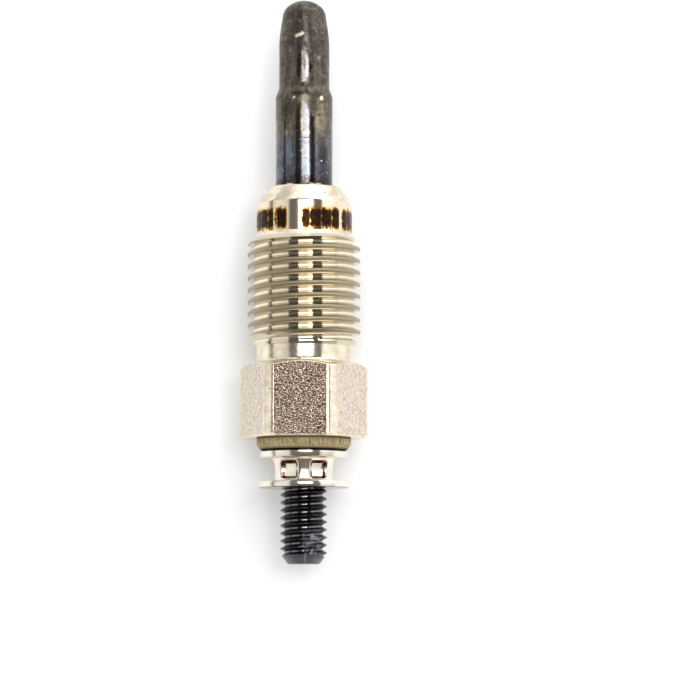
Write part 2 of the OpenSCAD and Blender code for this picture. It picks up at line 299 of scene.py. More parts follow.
electrode = TurnedPiece(even_angles(120))
end_face = electrode.ring(stud_end_r - end_break, stud_end)
end_edge = electrode.ring(stud_end_r, stud_end + end_break)
crimp_start = electrode.ring(crimp_r, nut_rear)
electrode.skin(electrode.pole(stud_end), end_face, end_edge)
electrode.thread(
    end_edge, crimp_start, stud_end + end_break, nut_rear, stud_pitch, stud_profile, stud_radius
)
electrode.skin(
    crimp_start,
    (crimp_r, nut_front),
    (shank_r, nut_front),
    (shank_r, shank_end - shank_cone),
    (pin_r, shank_end),
    (pin_r, electrode_tip - spigot_len),
    (spigot_r, electrode_tip - spigot_len),
    (spigot_r, electrode_tip),
    electrode.pole(electrode_tip),
)
electrode_piece = electrode.make(
    "terminal_electrode", black_oxide, paint={"bare": stud_bare, "worn": stud_worn}
)
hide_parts("centre_electrode")

# Coils: a heating coil welded into the tube's tip and a regulating coil behind it, both of drawn alloy
# wire. The solids already have their turns, so only the finish is set here.


def finish_solids(material, *nodes):
    """Gives a finish to solids of the frame that keep their own meshes."""
    for node in nodes:
        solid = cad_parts[node].data
        solid.materials.clear()
        solid.materials.append(material)


# Drawn resistance wire: a dull grey-brown metal with a faintly rough skin.
resistance_wire, add = new_material("drawn_resistance_wire")
place = add("TexCoord", out="Object")
scale = add("TexNoise", {"Vector": place, "Scale": 1 / (0.2 * mm), "Detail": 3.0})
tint = add("ValToRGB", {"Fac": scale}, stops=((0.3, "#6d645b"), (0.7, "#958b80")))
marks = add("Bump", {"Height": scale, "Strength": 0.3, "Distance": 0.01 * mm})
wire = add("BsdfPrincipled", {"Base Color": tint, "Metallic": 1.0, "Roughness": 0.45, "Normal": marks})
add("OutputMaterial", {"Surface": wire})
finish_solids(resistance_wire, "heating_coil", "regulating_coil")

# Filling: magnesia powder poured round the coils and packed hard when the tube is swaged. It holds the
# coils off the tube and carries their heat to it.

# Pressed magnesia: a chalky off-white with fine grains and no gloss.
magnesia, add = new_material("pressed_magnesia")
place = add("TexCoord", out="Object")
grains = add("TexNoise", {"Vector": place, "Scale": 1 / (0.1 * mm), "Detail": 5.0})
chalk = add("ValToRGB", {"Fac": grains}, stops=((0.3, "#d9d5c8"), (0.7, "#f0ede4")))
crumbs = add("Bump", {"Height": grains, "Strength": 0.5, "Distance": 0.02 * mm})
powder = add("BsdfPrincipled", {"Base Color": chalk, "Roughness": 0.95, "Normal": crumbs})
add("OutputMaterial", {"Surface": powder})
finish_solids(magnesia, "magnesia_fill")

# Seals: a moulded rubber bush closes the tube's open end round the pin, and a rubber ring seals the
# shank in the housing behind it.

# Moulded fluoro rubber: black and matt, with a faint bloom and fine pores.
rubber, add = new_material("moulded_seal_rubber")
place = add("TexCoord", out="Object")
pores = add("TexNoise", {"Vector": place, "Scale": 1 / (0.15 * mm), "Detail": 4.0})
bloom = add("ValToRGB", {"Fac": pores}, stops=((0.35, "#1b1a19"), (0.75, "#33312f")))
skin_bump = add("Bump", {"Height": pores, "Strength": 0.2, "Distance": 0.02 * mm})
elastomer = add("BsdfPrincipled", {"Base Color": bloom, "Roughness": 0.6, "IOR": 1.5, "Normal": skin_bump})
add("OutputMaterial", {"Surface": elastomer})
finish_solids(rubber, "tube_seal", "body_seal_ring")

# Glow tube: a drawn tube of heat-proof nickel alloy, swaged down at the front, closed by a welded dome
# and pressed into the housing's nose. Use has left it dark, with temper colours towards the nose.
nose_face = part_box("plug_body")[1].y
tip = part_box("glow_tube")[1].y
tube_r = 3.0 * mm
swaged_r = 2.65 * mm
dome_base_r = 2.3 * mm
dome_h = 1.8 * mm
dome_shoulder = 1.5 * mm
taper_len = 3.2 * mm
swaged_len = 3.9 * mm
flare_len = 1.6 * mm
tube_wall = 0.65 * mm
tip_wall = 0.9 * mm
waviness = 0.012 * mm
wander_len = 3 * mm
ripple_len = 1.2 * mm
ring_mark = nose_face + 5.04 * mm
ring_mark_depth = 0.008 * mm
ring_mark_half = 0.06 * mm
straight_rows, flare_rows, swaged_rows, taper_rows, dome_rows = 80, 16, 32, 26, 10

# Dull scale, as distances from the nose on the upper side, and how far it spreads along the sides.
scaled_flare = (8.6 * mm, 10.8 * mm)
scaled_tip = 14.2 * mm
scale_spread = 5 * mm
scale_spread_end = 0.4

# Marks on the tube, each as a distance from the nose in mm, an angle in degrees, a length in mm and
# a width in degrees. Most are marks that use has left; some are painted highlight or painted shade.
tube_marks = {
    "temper_blue": ((3.4, -28, 1.8, 13), (1.5, 10, 1.3, 16), (1.2, -60, 1.2, 20), (2.5, 150, 2.0, 50)),
    # Straw tints, and tan tones on the tip along the highlight's line, which are painted highlight.
    "straw_and_painted_highlight": (
        (7.0, 40, 2.2, 22), (9.1, 4, 0.8, 14), (6.4, -2, 1.4, 6), (15.6, 8, 0.6, 8), (17.9, 3, 0.5, 7),
        (5.6, -36, 0.5, 9), (7.5, 190, 2.2, 45), (16.9, 7, 1.5, 6),
    ),
    # Painted highlight: lighter metal along the line where the lamp's highlight falls.
    "painted_highlight": (
        (2.6, 8, 3.7, 14), (5.2, 8, 1.2, 13), (7.3, 8, 2.7, 11), (12.2, 7, 2.6, 12), (17.5, 5, 0.8, 5),
        (15.6, 9, 0.6, 5),
    ),
    # Soot, and a thin dark slit in the highlight's line, which is painted shade.
    "soot_and_painted_shade": (
        (3.4, 46, 1.7, 20), (0.4, 0, 0.9, 150), (7.1, -47, 0.4, 6), (7.45, 35, 0.25, 8),
        (4.0, 240, 2.0, 30), (9.8, -12, 0.4, 20), (13.0, -60, 1.5, 16), (12.9, 4, 1.1, 3.5),
        (8.0, -32, 1.9, 24), (9.7, 32, 0.7, 16),
    ),
    "scuff": (
        (15.87, -13, 0.28, 8), (15.99, -7, 0.28, 8), (16.12, -1, 0.28, 8), (9.27, 41, 0.36, 6.5),
        (9.3, -17, 0.18, 3.5), (2.66, 41, 0.12, 3),
    ),
}


def dome_profile(base_r, base_y, steps):
    """Radius and y up a dome whose crown runs into a rounded shoulder."""
    inner = base_r - dome_shoulder
    rise = dome_h - dome_shoulder
    drop = (inner * inner - rise * rise) / (2 * rise)
    crown = dome_h + drop
    meet = math.atan2(inner, drop)
    rows = []
    for step in range(steps + 1):
        tilt = math.pi / 2 - (math.pi / 2 - meet) * step / steps
        rows.append((inner + dome_shoulder * math.sin(tilt), base_y + dome_shoulder * math.cos(tilt)))
    for step in range(1, steps):
        tilt = meet * (1 - step / steps)
        rows.append((crown * math.sin(tilt), base_y - drop + crown * math.cos(tilt)))
    return rows


def swaged_tube_rows():
    """Radius and y along the outside of the tube from the nose to the dome."""
    dome_base = tip - dome_h
    taper_start = dome_base - taper_len
    flare_end = taper_start - swaged_len
    flare_start = flare_end - flare_len
    straight = flare_start - nose_face
    places = [nose_face + straight * i / straight_rows for i in range(straight_rows + 1)]
    places += [ring_mark + step for step in (-ring_mark_half, 0.0, ring_mark_half)]
    rows = [(tube_r, y) for y in sorted(places)]
    for i in range(1, flare_rows + 1):
        ease = 1 - ((1 + math.cos(math.pi * i / flare_rows)) / 2) ** 1.8
        rows.append((tube_r + (swaged_r - tube_r) * ease, flare_start + flare_len * i / flare_rows))
    rows += [(swaged_r, flare_end + swaged_len * i / swaged_rows) for i in range(1, swaged_rows + 1)]
    for i in range(1, taper_rows):
        ease = 1 - math.cos(math.pi / 2 * i / taper_rows)
        rows.append((swaged_r + (dome_base_r - swaged_r) * ease, taper_start + taper_len * i / taper_rows))
    return rows + dome_profile(dome_base_r, dome_base, dome_rows)


def wavy(radius, y):
    """A radius that wanders a little round the tube, as swaging leaves it."""
    def at(angle):
        spot = Vector((math.sin(angle), math.cos(angle), y / wander_len))
        ripple = Vector((2 * math.sin(angle), 2 * math.cos(angle), y / ripple_len + 40))
        groove = ring_mark_depth * max(0.0, 1 - abs(y - ring_mark) / ring_mark_half)
        wander = waviness * (noise.noise(spot) - 0.6) + 0.5 * waviness * noise.noise(ripple)
        return radius + wander * min(1.0, radius / dome_base_r) - groove
    return at


def tube_mark(kind):
    """The amount of one kind of mark over the tube."""
    def at(angle, radius, y):
        spots = [
            patch(angle, y, turn, nose_face + place * mm, wide, long * mm)
            for place, turn, long, wide in tube_marks[kind]
        ]
        # Painted shade: a dark line painted along the ring mark's groove.
        ring = 0.7 * max(0.0, 1 - abs(y - ring_mark) / (0.1 * mm)) if kind == "soot_and_painted_shade" else 0.0
        return max(*spots, ring)
    return at


def tube_scale(angle, radius, y):
    """Where scale has dulled the skin: on the tip that glows and on the flare, and further on the sides."""
    along = y - nose_face
    wedge = scale_spread * min(abs(angle), scale_spread_end)
    low, high = scaled_flare
    flare = smooth((along - low + wedge) / (1.0 * mm)) * smooth((high + wedge - along) / (0.6 * mm))
    return max(0.9 * flare, smooth((along - scaled_tip + wedge) / (1.0 * mm)))


# Heat-tinted nickel alloy: a dark glossy oxide skin on metal, duller and browner at the tip where it glows,
# with straw and blue tints where it ran cooler, soot, fine rub marks along it and a few bright scuffs.
# Lighter metal and tan tones along the line of the lamp's highlight are painted highlight. A dark line in
# the ring mark's groove and a dark slit in that highlight are painted shade.
heat_tint, add = new_material("heat_tinted_alloy")
place = add("TexCoord", out="Object")
distance = add("SeparateXYZ", {"Vector": place}, out="Y")
cloud = add("TexNoise", {"Vector": place, "Scale": 1 / (3 * mm), "Detail": 5.0, "Roughness": 0.6})
along = add(
    "MapRange", {"Value": distance, "From Min": nose_face, "From Max": tip, "To Min": -0.06, "To Max": 0.94}
)
drift = add("Math", {0: cloud, 1: 0.12, 2: along}, operation="MULTIPLY_ADD")
temper = add(
    "ValToRGB", {"Fac": drift},
    stops=(
        (0.0, "#474c5c"), (1.0, "#655d57"), (0.08, "#4f5769"), (0.2, "#646770"), (0.3, "#6f685f"),
        (0.42, "#756e60"), (0.54, "#6a6259"), (0.76, "#625a54"),
    ),
)
stretch = add("Mapping", {"Vector": place, "Scale": (1.0, 0.1, 1.0)})
rubs = add("TexNoise", {"Vector": stretch, "Scale": 1 / (0.35 * mm), "Detail": 4.0})
rubbed = add("MapRange", {"Value": rubs, "From Min": 0.35, "From Max": 0.7, "To Max": 0.7})
coat = add("Mix", {"Factor": rubbed, "A": temper, "B": linear("#3c3735")}, data_type="RGBA")
mottle = add("TexNoise", {"Vector": place, "Scale": 1 / (0.6 * mm), "Detail": 7.0, "Roughness": 0.75})
patina = add("TexNoise", {"Vector": place, "Scale": 1 / (0.9 * mm), "Detail": 8.0, "Roughness": 0.8})
for colour, none, full, most in (("#352d27", 0.48, 0.62, 0.65), ("#827a67", 0.48, 0.36, 0.5)):
    film = add("MapRange", {"Value": patina, "From Min": none, "From Max": full, "To Max": most})
    coat = add("Mix", {"Factor": film, "A": coat, "B": linear(colour)}, data_type="RGBA")
for kind, colour, most in (
    ("straw_and_painted_highlight", "#958b72", 0.65), ("painted_highlight", "#807f82", 0.9), ("temper_blue", "#66717f", 0.7),
    ("soot_and_painted_shade", "#382e2a", 0.7), ("scuff", "#fff6df", 1.0),
):
    amount = add("Attribute", out="Fac", attribute_name=kind)
    ragged = add("Math", {0: mottle, 1: 2.4, 2: amount}, operation="MULTIPLY_ADD")
    mask = add("MapRange", {"Value": ragged, "From Min": 1.4, "From Max": 2.2, "To Max": most})
    coat = add("Mix", {"Factor": mask, "A": coat, "B": linear(colour)}, data_type="RGBA")
scale = add("Attribute", out="Fac", attribute_name="scale")
dull = add("MapRange", {"Value": scale, "To Min": -0.03, "To Max": 0.24})
skin_gloss = add("Math", {0: patina, 1: 0.36, 2: dull}, operation="MULTIPLY_ADD")
pits = add("TexNoise", {"Vector": place, "Scale": 1 / (0.3 * mm), "Detail": 4.0})
skin_pits = add("Bump", {"Height": pits, "Strength": 0.3, "Distance": 0.03 * mm})
oxide = add(
    "BsdfPrincipled", {"Base Color": coat, "Metallic": 1.0, "Roughness": skin_gloss, "Normal": skin_pits}
)
add("OutputMaterial", {"Surface": oxide})

tube = TurnedPiece(even_angles(180))
outside = swaged_tube_rows()
inside_end = tip - tip_wall
bore_rows = [
    (dome_base_r - tube_wall, inside_end - (dome_base_r - tube_wall)),
    (swaged_r - tube_wall, tip - dome_h - taper_len),
    (swaged_r - tube_wall, tip - dome_h - taper_len - swaged_len),
    (tube_r - tube_wall, tip - dome_h - taper_len - swaged_len - flare_len),
    (tube_r - tube_wall, tube_rear),
]
first = tube.ring(tube_r, tube_rear)
tube.skin(
    first,
    (tube_r, nose_face - 0.05 * mm),
    *[(wavy(r, y) if i else r, y) for i, (r, y) in enumerate(outside)],
    tube.pole(tip),
)
tube.skin(tube.pole(inside_end), *bore_rows, first)
tube_paint = {kind: tube_mark(kind) for kind in tube_marks}
tube_piece = tube.make("sheath_tube", heat_tint, paint={**tube_paint, "scale": tube_scale})
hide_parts("glow_tube")

# Housing: turned from drawn hexagon bar in low-carbon steel, with a rolled M12 thread and a conical
# seat, then nickel plated. The tube is pressed into its nose and the terminal parts close its rear.
hex_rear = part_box("plug_body")[0].y
hex_half = (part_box("plug_body")[1].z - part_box("plug_body")[0].z) / 2
hex_len = 7.75 * mm
hex_corner_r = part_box("plug_body")[1].x
hex_front_land = 0.1 * mm
hex_front_slope = math.radians(30)
hex_rear_edge = 0.15 * mm
hex_rear_break = 0.16 * mm
hex_edge_round = 0.08 * mm
neck_r = 5.0 * mm
neck_len = 1.8 * mm
neck_fillet = 0.5 * mm
fillet_steps = 6
thread_r = 5.925 * mm
thread_pitch = 1.25 * mm
thread_len = 11.55 * mm
thread_lead = 0.8 * mm
thread_runout = 1.5 * mm
runout_step = 0.3 * mm
nose_r = 5.025 * mm
nose_len = 3.5 * mm
nose_foot = 0.2 * mm
nose_foot_len = 0.32 * mm
seat_front_r = 4.05 * mm
nose_edge = 0.2 * mm
bore_r = 3.4 * mm
press_len = 9.0 * mm
counterbore_r = shank_r + 1.54 * mm
ring_seat = hex_rear + 3.54 * mm
edge_break = 0.05 * mm
flat_margin = math.radians(1.45)
burr_height = 0.28 * mm
thread_rows = thread_profile(
    thread_pitch, crest_round=0.18 * mm, root_round=0.1 * mm, crest_land=0.03 * mm, root_land=0.03 * mm,
    phase=0.49,
)
thread_depth = max(drop for along, drop in thread_rows)

# Narrow strips beside the edges, which keep the shading of the long faces flat.
guard = 0.06 * mm

# Numbers of the housing's materials besides the turned steel.
drawn_finish, thread_finish, burnt_finish = 1, 2, 3

# Bars of the burnt marking, from and to an angle in degrees, and both of their ends along the nose, as
# distances from the thread where none and where all of the colour shows.
burnt_bars = ((-77, -36), (-33, -17), (1, 50), (55.5, 98), (112, 150), (158, 178), (200, 268))
burnt_edge = 1.4
burnt_ends = ((0.15 * mm, 0.9 * mm), (2.95 * mm, 2.25 * mm))
burnt_blocks = 13.0
scorch_wander = 0.12

hex_front = hex_rear + hex_len
thread_start = hex_front + neck_len
thread_end = thread_start + thread_len
seat_start = thread_end + nose_len
flat_edge = math.acos(hex_half / hex_corner_r)


def hexagon_angles():
    """Angles round one turn, close together over the rounded edges of the six flats."""
    angles = []
    for flat in range(6):
        middle = math.radians(60) * flat
        spread = flat_edge - math.radians(2.0)
        angles += [middle + spread * (i / 5 - 1) for i in range(11)] + [middle + math.radians(30)]
        for step in (-1.5, -1.0, -0.6, -0.2, 0.2, 0.6, 1.0, 1.5):
            angles += [middle + side * (flat_edge + math.radians(step)) for side in (-1, 1)]
    return sorted(angle % math.tau for angle in angles)


def from_flat(angle):
    """Angle from the middle of the nearest flat."""
    sector = math.radians(60)
    return abs((angle + sector / 2) % sector - sector / 2)


def hexagon_r(angle):
    """Radius of the hexagon, whose corners are turned off and whose edges there are rounded."""
    flat_r = hex_half / math.cos(from_flat(angle))
    near = max(0.0, 1 - abs(hex_corner_r - flat_r) / hex_edge_round)
    return min(hex_corner_r, flat_r) - hex_edge_round * near * near / 4


def upper_flat_painted_shade(angle, radius, y):
    """Painted shade that darkens and browns the upper flat, for the dim overhead that it mirrors."""
    return smooth((flat_edge - abs(angle)) / math.radians(2)) if y < hex_front else 0.0


def front_chamfer_y(angle):
    """Where the flats end at the front, cut to arcs by the turned chamfer."""
    front_r = hex_half - hex_front_land
    return hex_front - (hexagon_r(angle) - front_r) * math.tan(hex_front_slope)


def rear_chamfer_y(angle):
    """Where the flats end at the rear, pushed forwards at the turned corners."""
    return hex_rear + max(0.0, hexagon_r(angle) - hex_corner_r + hex_rear_edge)


def thread_radius(drop, y, angle):
    """Radius of the thread, which rises from a foot at the nose and runs out on a step at the neck."""
    foot = nose_r + nose_foot
    lead = foot + (thread_r - foot) * (thread_end - y) / thread_lead
    step_r = neck_r + runout_step
    runout = step_r + (thread_r - step_r) * (y - thread_start) / thread_runout
    return min(thread_r - drop, lead, runout)


def mouth_burr(angle):
    """Height of the torn plate that the tube has pushed up in flakes round the nose's mouth."""
    spot = Vector((3.6 * math.sin(angle), 3.6 * math.cos(angle), 0.4))
    return burr_height * smooth(0.25 + 2.6 * noise.noise(spot))


def drawn_flat(angle):
    """The material's number for a face that starts at an angle: drawn flat or turned corner."""
    return drawn_finish if from_flat(angle + math.radians(0.2)) < flat_edge - flat_margin else 0


# Nickel plate on turned steel: a bright, slightly yellow metal with a soft gloss and a few brown specks.
turned_nickel, add = new_material("nickel_plate_turned")
place = add("TexCoord", out="Object")
cloud = add("TexNoise", {"Vector": place, "Scale": 1 / (1.2 * mm), "Detail": 7.0, "Roughness": 0.7})
plate = add("ValToRGB", {"Fac": cloud}, stops=((0.32, "#cbbda4"), (0.62, "#eee3ce")))
specks = add("TexNoise", {"Vector": place, "Scale": 1 / (0.45 * mm), "Detail": 2.0})
speck_mask = add("MapRange", {"Value": specks, "From Min": 0.68, "From Max": 0.76, "To Max": 0.8})
specked = add("Mix", {"Factor": speck_mask, "A": plate, "B": linear("#7d5f45")}, data_type="RGBA")
fine = add("TexNoise", {"Vector": place, "Scale": 1 / (0.1 * mm), "Detail": 3.0})
plate_gloss = add(
    "MapRange", {"Value": fine, "From Min": 0.3, "From Max": 0.7, "To Min": 0.12, "To Max": 0.26}
)
plate_bump = add("Bump", {"Height": fine, "Strength": 0.15, "Distance": 0.015 * mm})
nickel = add(
    "BsdfPrincipled",
    {"Base Color": specked, "Metallic": 1.0, "Roughness": plate_gloss, "Normal": plate_bump},
)
add("OutputMaterial", {"Surface": nickel})

# Nickel plate in the thread: bright plate on the rolled flanks and roots, which mirror each other and so
# look olive, and a rubbed, slightly rough film on the rounded crests.
thread_nickel, add = new_material("nickel_plate_rolled_thread")
place = add("TexCoord", out="Object")
from_axis = add("VectorMath", {0: place, 1: (0.0, 0.0, -axis_z)}, operation="ADD")
from_axis = add("VectorMath", {0: from_axis, 1: (1.0, 0.0, 1.0)}, operation="MULTIPLY")
reach = add("VectorMath", {0: from_axis}, operation="LENGTH")
film_noise = add("TexNoise", {"Vector": place, "Scale": 1 / (0.25 * mm), "Detail": 5.0, "Roughness": 0.65})
height = add(
    "MapRange",
    {"Value": reach, "From Min": thread_r - thread_depth, "From Max": thread_r,
     "To Min": -0.1, "To Max": 0.9},
)
height = add("Math", {0: film_noise, 1: 0.2, 2: height}, operation="MULTIPLY_ADD")
oily = add(
    "ValToRGB", {"Fac": height},
    stops=((0.0, "#efe6d4"), (1.0, "#a1977f"), (0.15, "#d0c6b1"), (0.72, "#c5bba5"), (0.86, "#8d846d")),
)
oily_gloss = add(
    "MapRange", {"Value": height, "From Min": 0.7, "From Max": 0.86, "To Min": 0.06, "To Max": 0.3}
)
rubbed = add(
    "MapRange", {"Value": height, "From Min": 0.7, "From Max": 0.86, "To Min": 0.03, "To Max": 1.0}
)
film_bump = add("Bump", {"Height": film_noise, "Strength": rubbed, "Distance": 0.06 * mm})
rolled = add(
    "BsdfPrincipled", {"Base Color": oily, "Metallic": 1.0, "Roughness": oily_gloss, "Normal": film_bump}
)
add("OutputMaterial", {"Surface": rolled})

# Nickel plate on drawn bar: the same plate over the bar's etched grain, which sparkles light and dark. The
# grain is drawn a few times coarser than it is, so that it shows, and the upper flat is painted darker and
# browner, as painted shade for the dim overhead that it mirrors.
drawn_nickel, add = new_material("nickel_plate_drawn")
place = add("TexCoord", out="Object")
grain = add("TexVoronoi", {"Vector": place, "Scale": 1 / (0.22 * mm)})
tone = add("ValToRGB", {"Fac": grain}, stops=((0.2, "#efe5d6"), (0.8, "#c2b29f")))
# The film layer here is painted shade on the upper flat.
film = add("Attribute", out="Fac", attribute_name="film")
tone_with_painted_shade = add(
    "Mix", {"Factor": film, "A": tone, "B": linear("#eadeda")}, data_type="RGBA", blend_type="MULTIPLY"
)
grain_bump = add("Bump", {"Height": grain, "Strength": 1.0, "Distance": 0.085 * mm})
etched = add(
    "BsdfPrincipled", {"Base Color": tone_with_painted_shade, "Metallic": 1.0, "Roughness": 0.17, "Normal": grain_bump}
)
add("OutputMaterial", {"Surface": etched})

# Burnt marking on nickel plate: plain dark-brown bars, matt and ragged, with amber at their edges.
burnt_nickel, add = new_material("burnt_nickel_plate")
place = add("TexCoord", out="Object")
split = add("SeparateXYZ", {"Vector": place}).node
rise = add("Math", {0: split.outputs["Z"], 1: axis_z}, operation="SUBTRACT")
around = add("Math", {0: split.outputs["X"], 1: rise}, operation="ARCTAN2")
scorch = add("TexNoise", {"Vector": place, "Scale": 1 / (0.45 * mm), "Detail": 6.0, "Roughness": 0.7})
around = add("Math", {0: scorch, 1: scorch_wander, 2: around}, operation="MULTIPLY_ADD")
turned = add(
    "MapRange",
    {"Value": around, "From Min": scorch_wander / 2 - math.pi, "From Max": scorch_wander / 2 + math.pi},
)
bar_stops = []
for bar in burnt_bars:
    for edge, inside in zip(bar, (1, -1)):
        for side in (-burnt_edge, burnt_edge):
            shade = "#ffffff" if side * inside > 0 else "#000000"
            bar_stops.append(((edge + side + 180) / 360 % 1, shade))
burn = add("ValToRGB", {"Fac": turned}, stops=sorted(bar_stops))
for none, full in burnt_ends:
    fade = add(
        "MapRange",
        {"Value": split.outputs["Y"], "From Min": thread_end + none, "From Max": thread_end + full},
    )
    burn = add("Math", {0: burn, 1: fade}, operation="MULTIPLY")
blocks = add("Math", {0: around, 1: burnt_blocks}, operation="MULTIPLY")
blocks = add("Math", {0: blocks}, operation="SINE")
blocks = add("Math", {0: blocks}, operation="ABSOLUTE")
blocks = add("MapRange", {"Value": blocks, "From Min": 0.0, "From Max": 0.4, "To Min": 0.45, "To Max": 0.9})
burn = add("Math", {0: burn, 1: blocks}, operation="MULTIPLY")
burn = add("Math", {0: scorch, 1: 1.6, 2: burn}, operation="MULTIPLY_ADD")
burn = add("Math", {0: burn, 1: 0.68}, operation="SUBTRACT")
burnt = add(
    "ValToRGB", {"Fac": burn},
    stops=(
        (0.0, "#e6dac2"), (1.0, "#2e1f17"), (0.3, "#e3d7be"), (0.42, "#dcbb76"),
        (0.56, "#a8742f"), (0.7, "#523620"),
    ),
)
burnt_gloss = add(
    "MapRange", {"Value": burn, "From Min": 0.4, "From Max": 0.9, "To Min": 0.14, "To Max": 0.42}
)
marked = add("BsdfPrincipled", {"Base Color": burnt, "Metallic": 1.0, "Roughness": burnt_gloss})
add("OutputMaterial", {"Surface": marked})

housing = TurnedPiece(hexagon_angles())
rear_inner = housing.ring(counterbore_r, hex_rear)
rear_outer = (lambda a: min(hexagon_r(a), hex_corner_r - hex_rear_edge) - hex_rear_break, hex_rear)
rear_edge = housing.ring(hexagon_r, lambda a: rear_chamfer_y(a) + hex_rear_break)
rear_guard = (hexagon_r, lambda a: rear_chamfer_y(a) + hex_rear_break + guard)
front_guard = (hexagon_r, lambda a: front_chamfer_y(a) - edge_break - guard)
front_edge = housing.ring(hexagon_r, lambda a: front_chamfer_y(a) - edge_break)
front_break = (
    lambda a: hexagon_r(a) - edge_break * math.cos(hex_front_slope),
    lambda a: front_chamfer_y(a) + edge_break * math.sin(hex_front_slope),
)
front_face = (hex_half - hex_front_land - edge_break, hex_front)
fillet_rings = []
for step in range(fillet_steps + 1):
    tilt = math.pi / 2 * step / fillet_steps
    fillet_r = neck_r + neck_fillet * (1 - math.sin(tilt))
    fillet_rings.append((fillet_r, hex_front + neck_fillet * (1 - math.cos(tilt))))
neck_guard = (neck_r, thread_start - 0.08 * mm)
neck_end = housing.ring(neck_r, thread_start)
nose_start = housing.ring(nose_r + nose_foot, thread_end)
housing.skin(rear_inner, rear_outer, rear_edge)
housing.skin(rear_edge, rear_guard, front_guard, front_edge, finish=drawn_flat)
housing.skin(front_edge, front_break, front_face, *fillet_rings, neck_guard, neck_end)
housing.thread(
    neck_end, nose_start, thread_start, thread_end, thread_pitch, thread_rows, thread_radius,
    finish=thread_finish,
)
foot_rings = [
    housing.ring(nose_r + nose_foot * (1 - share), thread_end + nose_foot_len * share)
    for share in (0.1, 0.9, 1.0)
]
nose_guards = [(nose_r, y) for y in (thread_end + nose_foot_len + 0.04 * mm, seat_start - 2 * guard)]
nose_edge_ring = housing.ring(nose_r, seat_start - guard)
housing.skin(nose_start, *foot_rings)
housing.skin(foot_rings[-1], *nose_guards, nose_edge_ring, finish=burnt_finish)
housing.skin(
    nose_edge_ring,
    (nose_r - 0.03 * mm, seat_start + 0.04 * mm),
    (seat_front_r + 0.03 * mm, nose_face - nose_edge - 0.06 * mm),
    (seat_front_r - 0.02 * mm, nose_face - nose_edge + 0.04 * mm),
    (seat_front_r - 0.1 * mm, nose_face - 0.04 * mm),
    (seat_front_r - nose_edge, nose_face),
    (tube_r + 0.3 * mm, nose_face),
    (tube_r + 0.12 * mm, lambda a: nose_face + 0.8 * mouth_burr(a)),
    (tube_r + 0.03 * mm, lambda a: nose_face + mouth_burr(a)),
    (tube_r, nose_face),
    (tube_r, nose_face - press_len),
    (bore_r, nose_face - press_len),
    (bore_r, ring_seat),
    (counterbore_r, ring_seat),
    rear_inner,
)
# The film paint is painted shade on the upper flat.
housing_piece = housing.make(
    "threaded_housing", turned_nickel, drawn_nickel, thread_nickel, burnt_nickel, paint={"film": upper_flat_painted_shade}
)
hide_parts("plug_body")

# Insulating washer: stamped from vulcanised fibre with a collar that reaches into the housing. It keeps
# the electrode and the round nut off the housing, and the nut clamps it.
washer_rear, collar_end = (corner.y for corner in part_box("insulating_washer"))
washer_r = 4.925 * mm
washer_rear_r = 4.625 * mm
washer_taper = 0.55 * mm
collar_gap = 0.05 * mm
fray = 0.05 * mm


def frayed(radius):
    """A radius that the stamped edge's torn fibres make uneven."""
    def at(angle):
        spot = Vector((9 * math.sin(angle), 9 * math.cos(angle), radius / mm))
        return radius - fray * abs(noise.noise(3 * spot))
    return at


def washer_edge_painted_shade(angle, radius, y):
    """Painted shade along both of the washer's edges, where the hexagon and the nut meet it."""
    return max(smooth(1 - (hex_rear - y) / (0.3 * mm)), smooth(1 - (y - washer_rear) / (0.25 * mm)))


# Vulcanised fibre: a matt olive-tan board of pressed cotton paper, darker between its torn fibres, with
# painted shade in dark brown along both edges, where the hexagon and the nut meet it.
fibre, add = new_material("vulcanised_fibre")
place = add("TexCoord", out="Object")
stretch = add("Mapping", {"Vector": place, "Scale": (1.0, 0.18, 1.0)})
strands = add("TexNoise", {"Vector": stretch, "Scale": 1 / (0.2 * mm), "Detail": 5.0})
board = add("ValToRGB", {"Fac": strands}, stops=((0.3, "#6f6242"), (0.72, "#c0b088"), (0.5, "#9d8d64")))
# Painted shade: dark brown along the washer's edges next to the hexagon and the nut.
edge_shade = add("Attribute", out="Fac", attribute_name="edge_shade")
edge_shade_mask = add("Math", {0: strands, 1: 1.4, 2: edge_shade}, operation="MULTIPLY_ADD")
edge_shade_mask = add("MapRange", {"Value": edge_shade_mask, "From Min": 1.0, "From Max": 1.7, "To Max": 0.9})
board_with_edge_shade = add("Mix", {"Factor": edge_shade_mask, "A": board, "B": linear("#3b2d20")}, data_type="RGBA")
strand_bump = add("Bump", {"Height": strands, "Strength": 0.7, "Distance": 0.06 * mm})
cotton = add("BsdfPrincipled", {"Base Color": board_with_edge_shade, "Roughness": 0.85, "Normal": strand_bump})
add("OutputMaterial", {"Surface": cotton})

washer = TurnedPiece(even_angles(240))
washer_bore_r = shank_r + collar_gap
collar_r = counterbore_r - collar_gap
first = washer.ring(washer_bore_r, washer_rear)
washer.skin(
    first,
    (frayed(washer_rear_r - 0.08 * mm), washer_rear),
    (frayed(washer_rear_r), washer_rear + 0.1 * mm),
    (frayed((washer_rear_r + washer_r) / 2), washer_rear + 0.3 * mm),
    (frayed(washer_r), washer_rear + washer_taper),
    (frayed(washer_r), washer_rear + washer_taper + 0.25 * mm),
    (frayed(washer_r), hex_rear - 0.2 * mm),
    (frayed(washer_r), hex_rear - 0.1 * mm),
    (frayed(washer_r), hex_rear),
    (collar_r, hex_rear),
    (collar_r, collar_end),
    (washer_bore_r, collar_end),
    first,
)
# The paint for the edges is painted shade.
washer_piece = washer.make("fibre_washer", fibre, paint={"edge_shade": washer_edge_painted_shade})
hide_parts("insulating_washer")

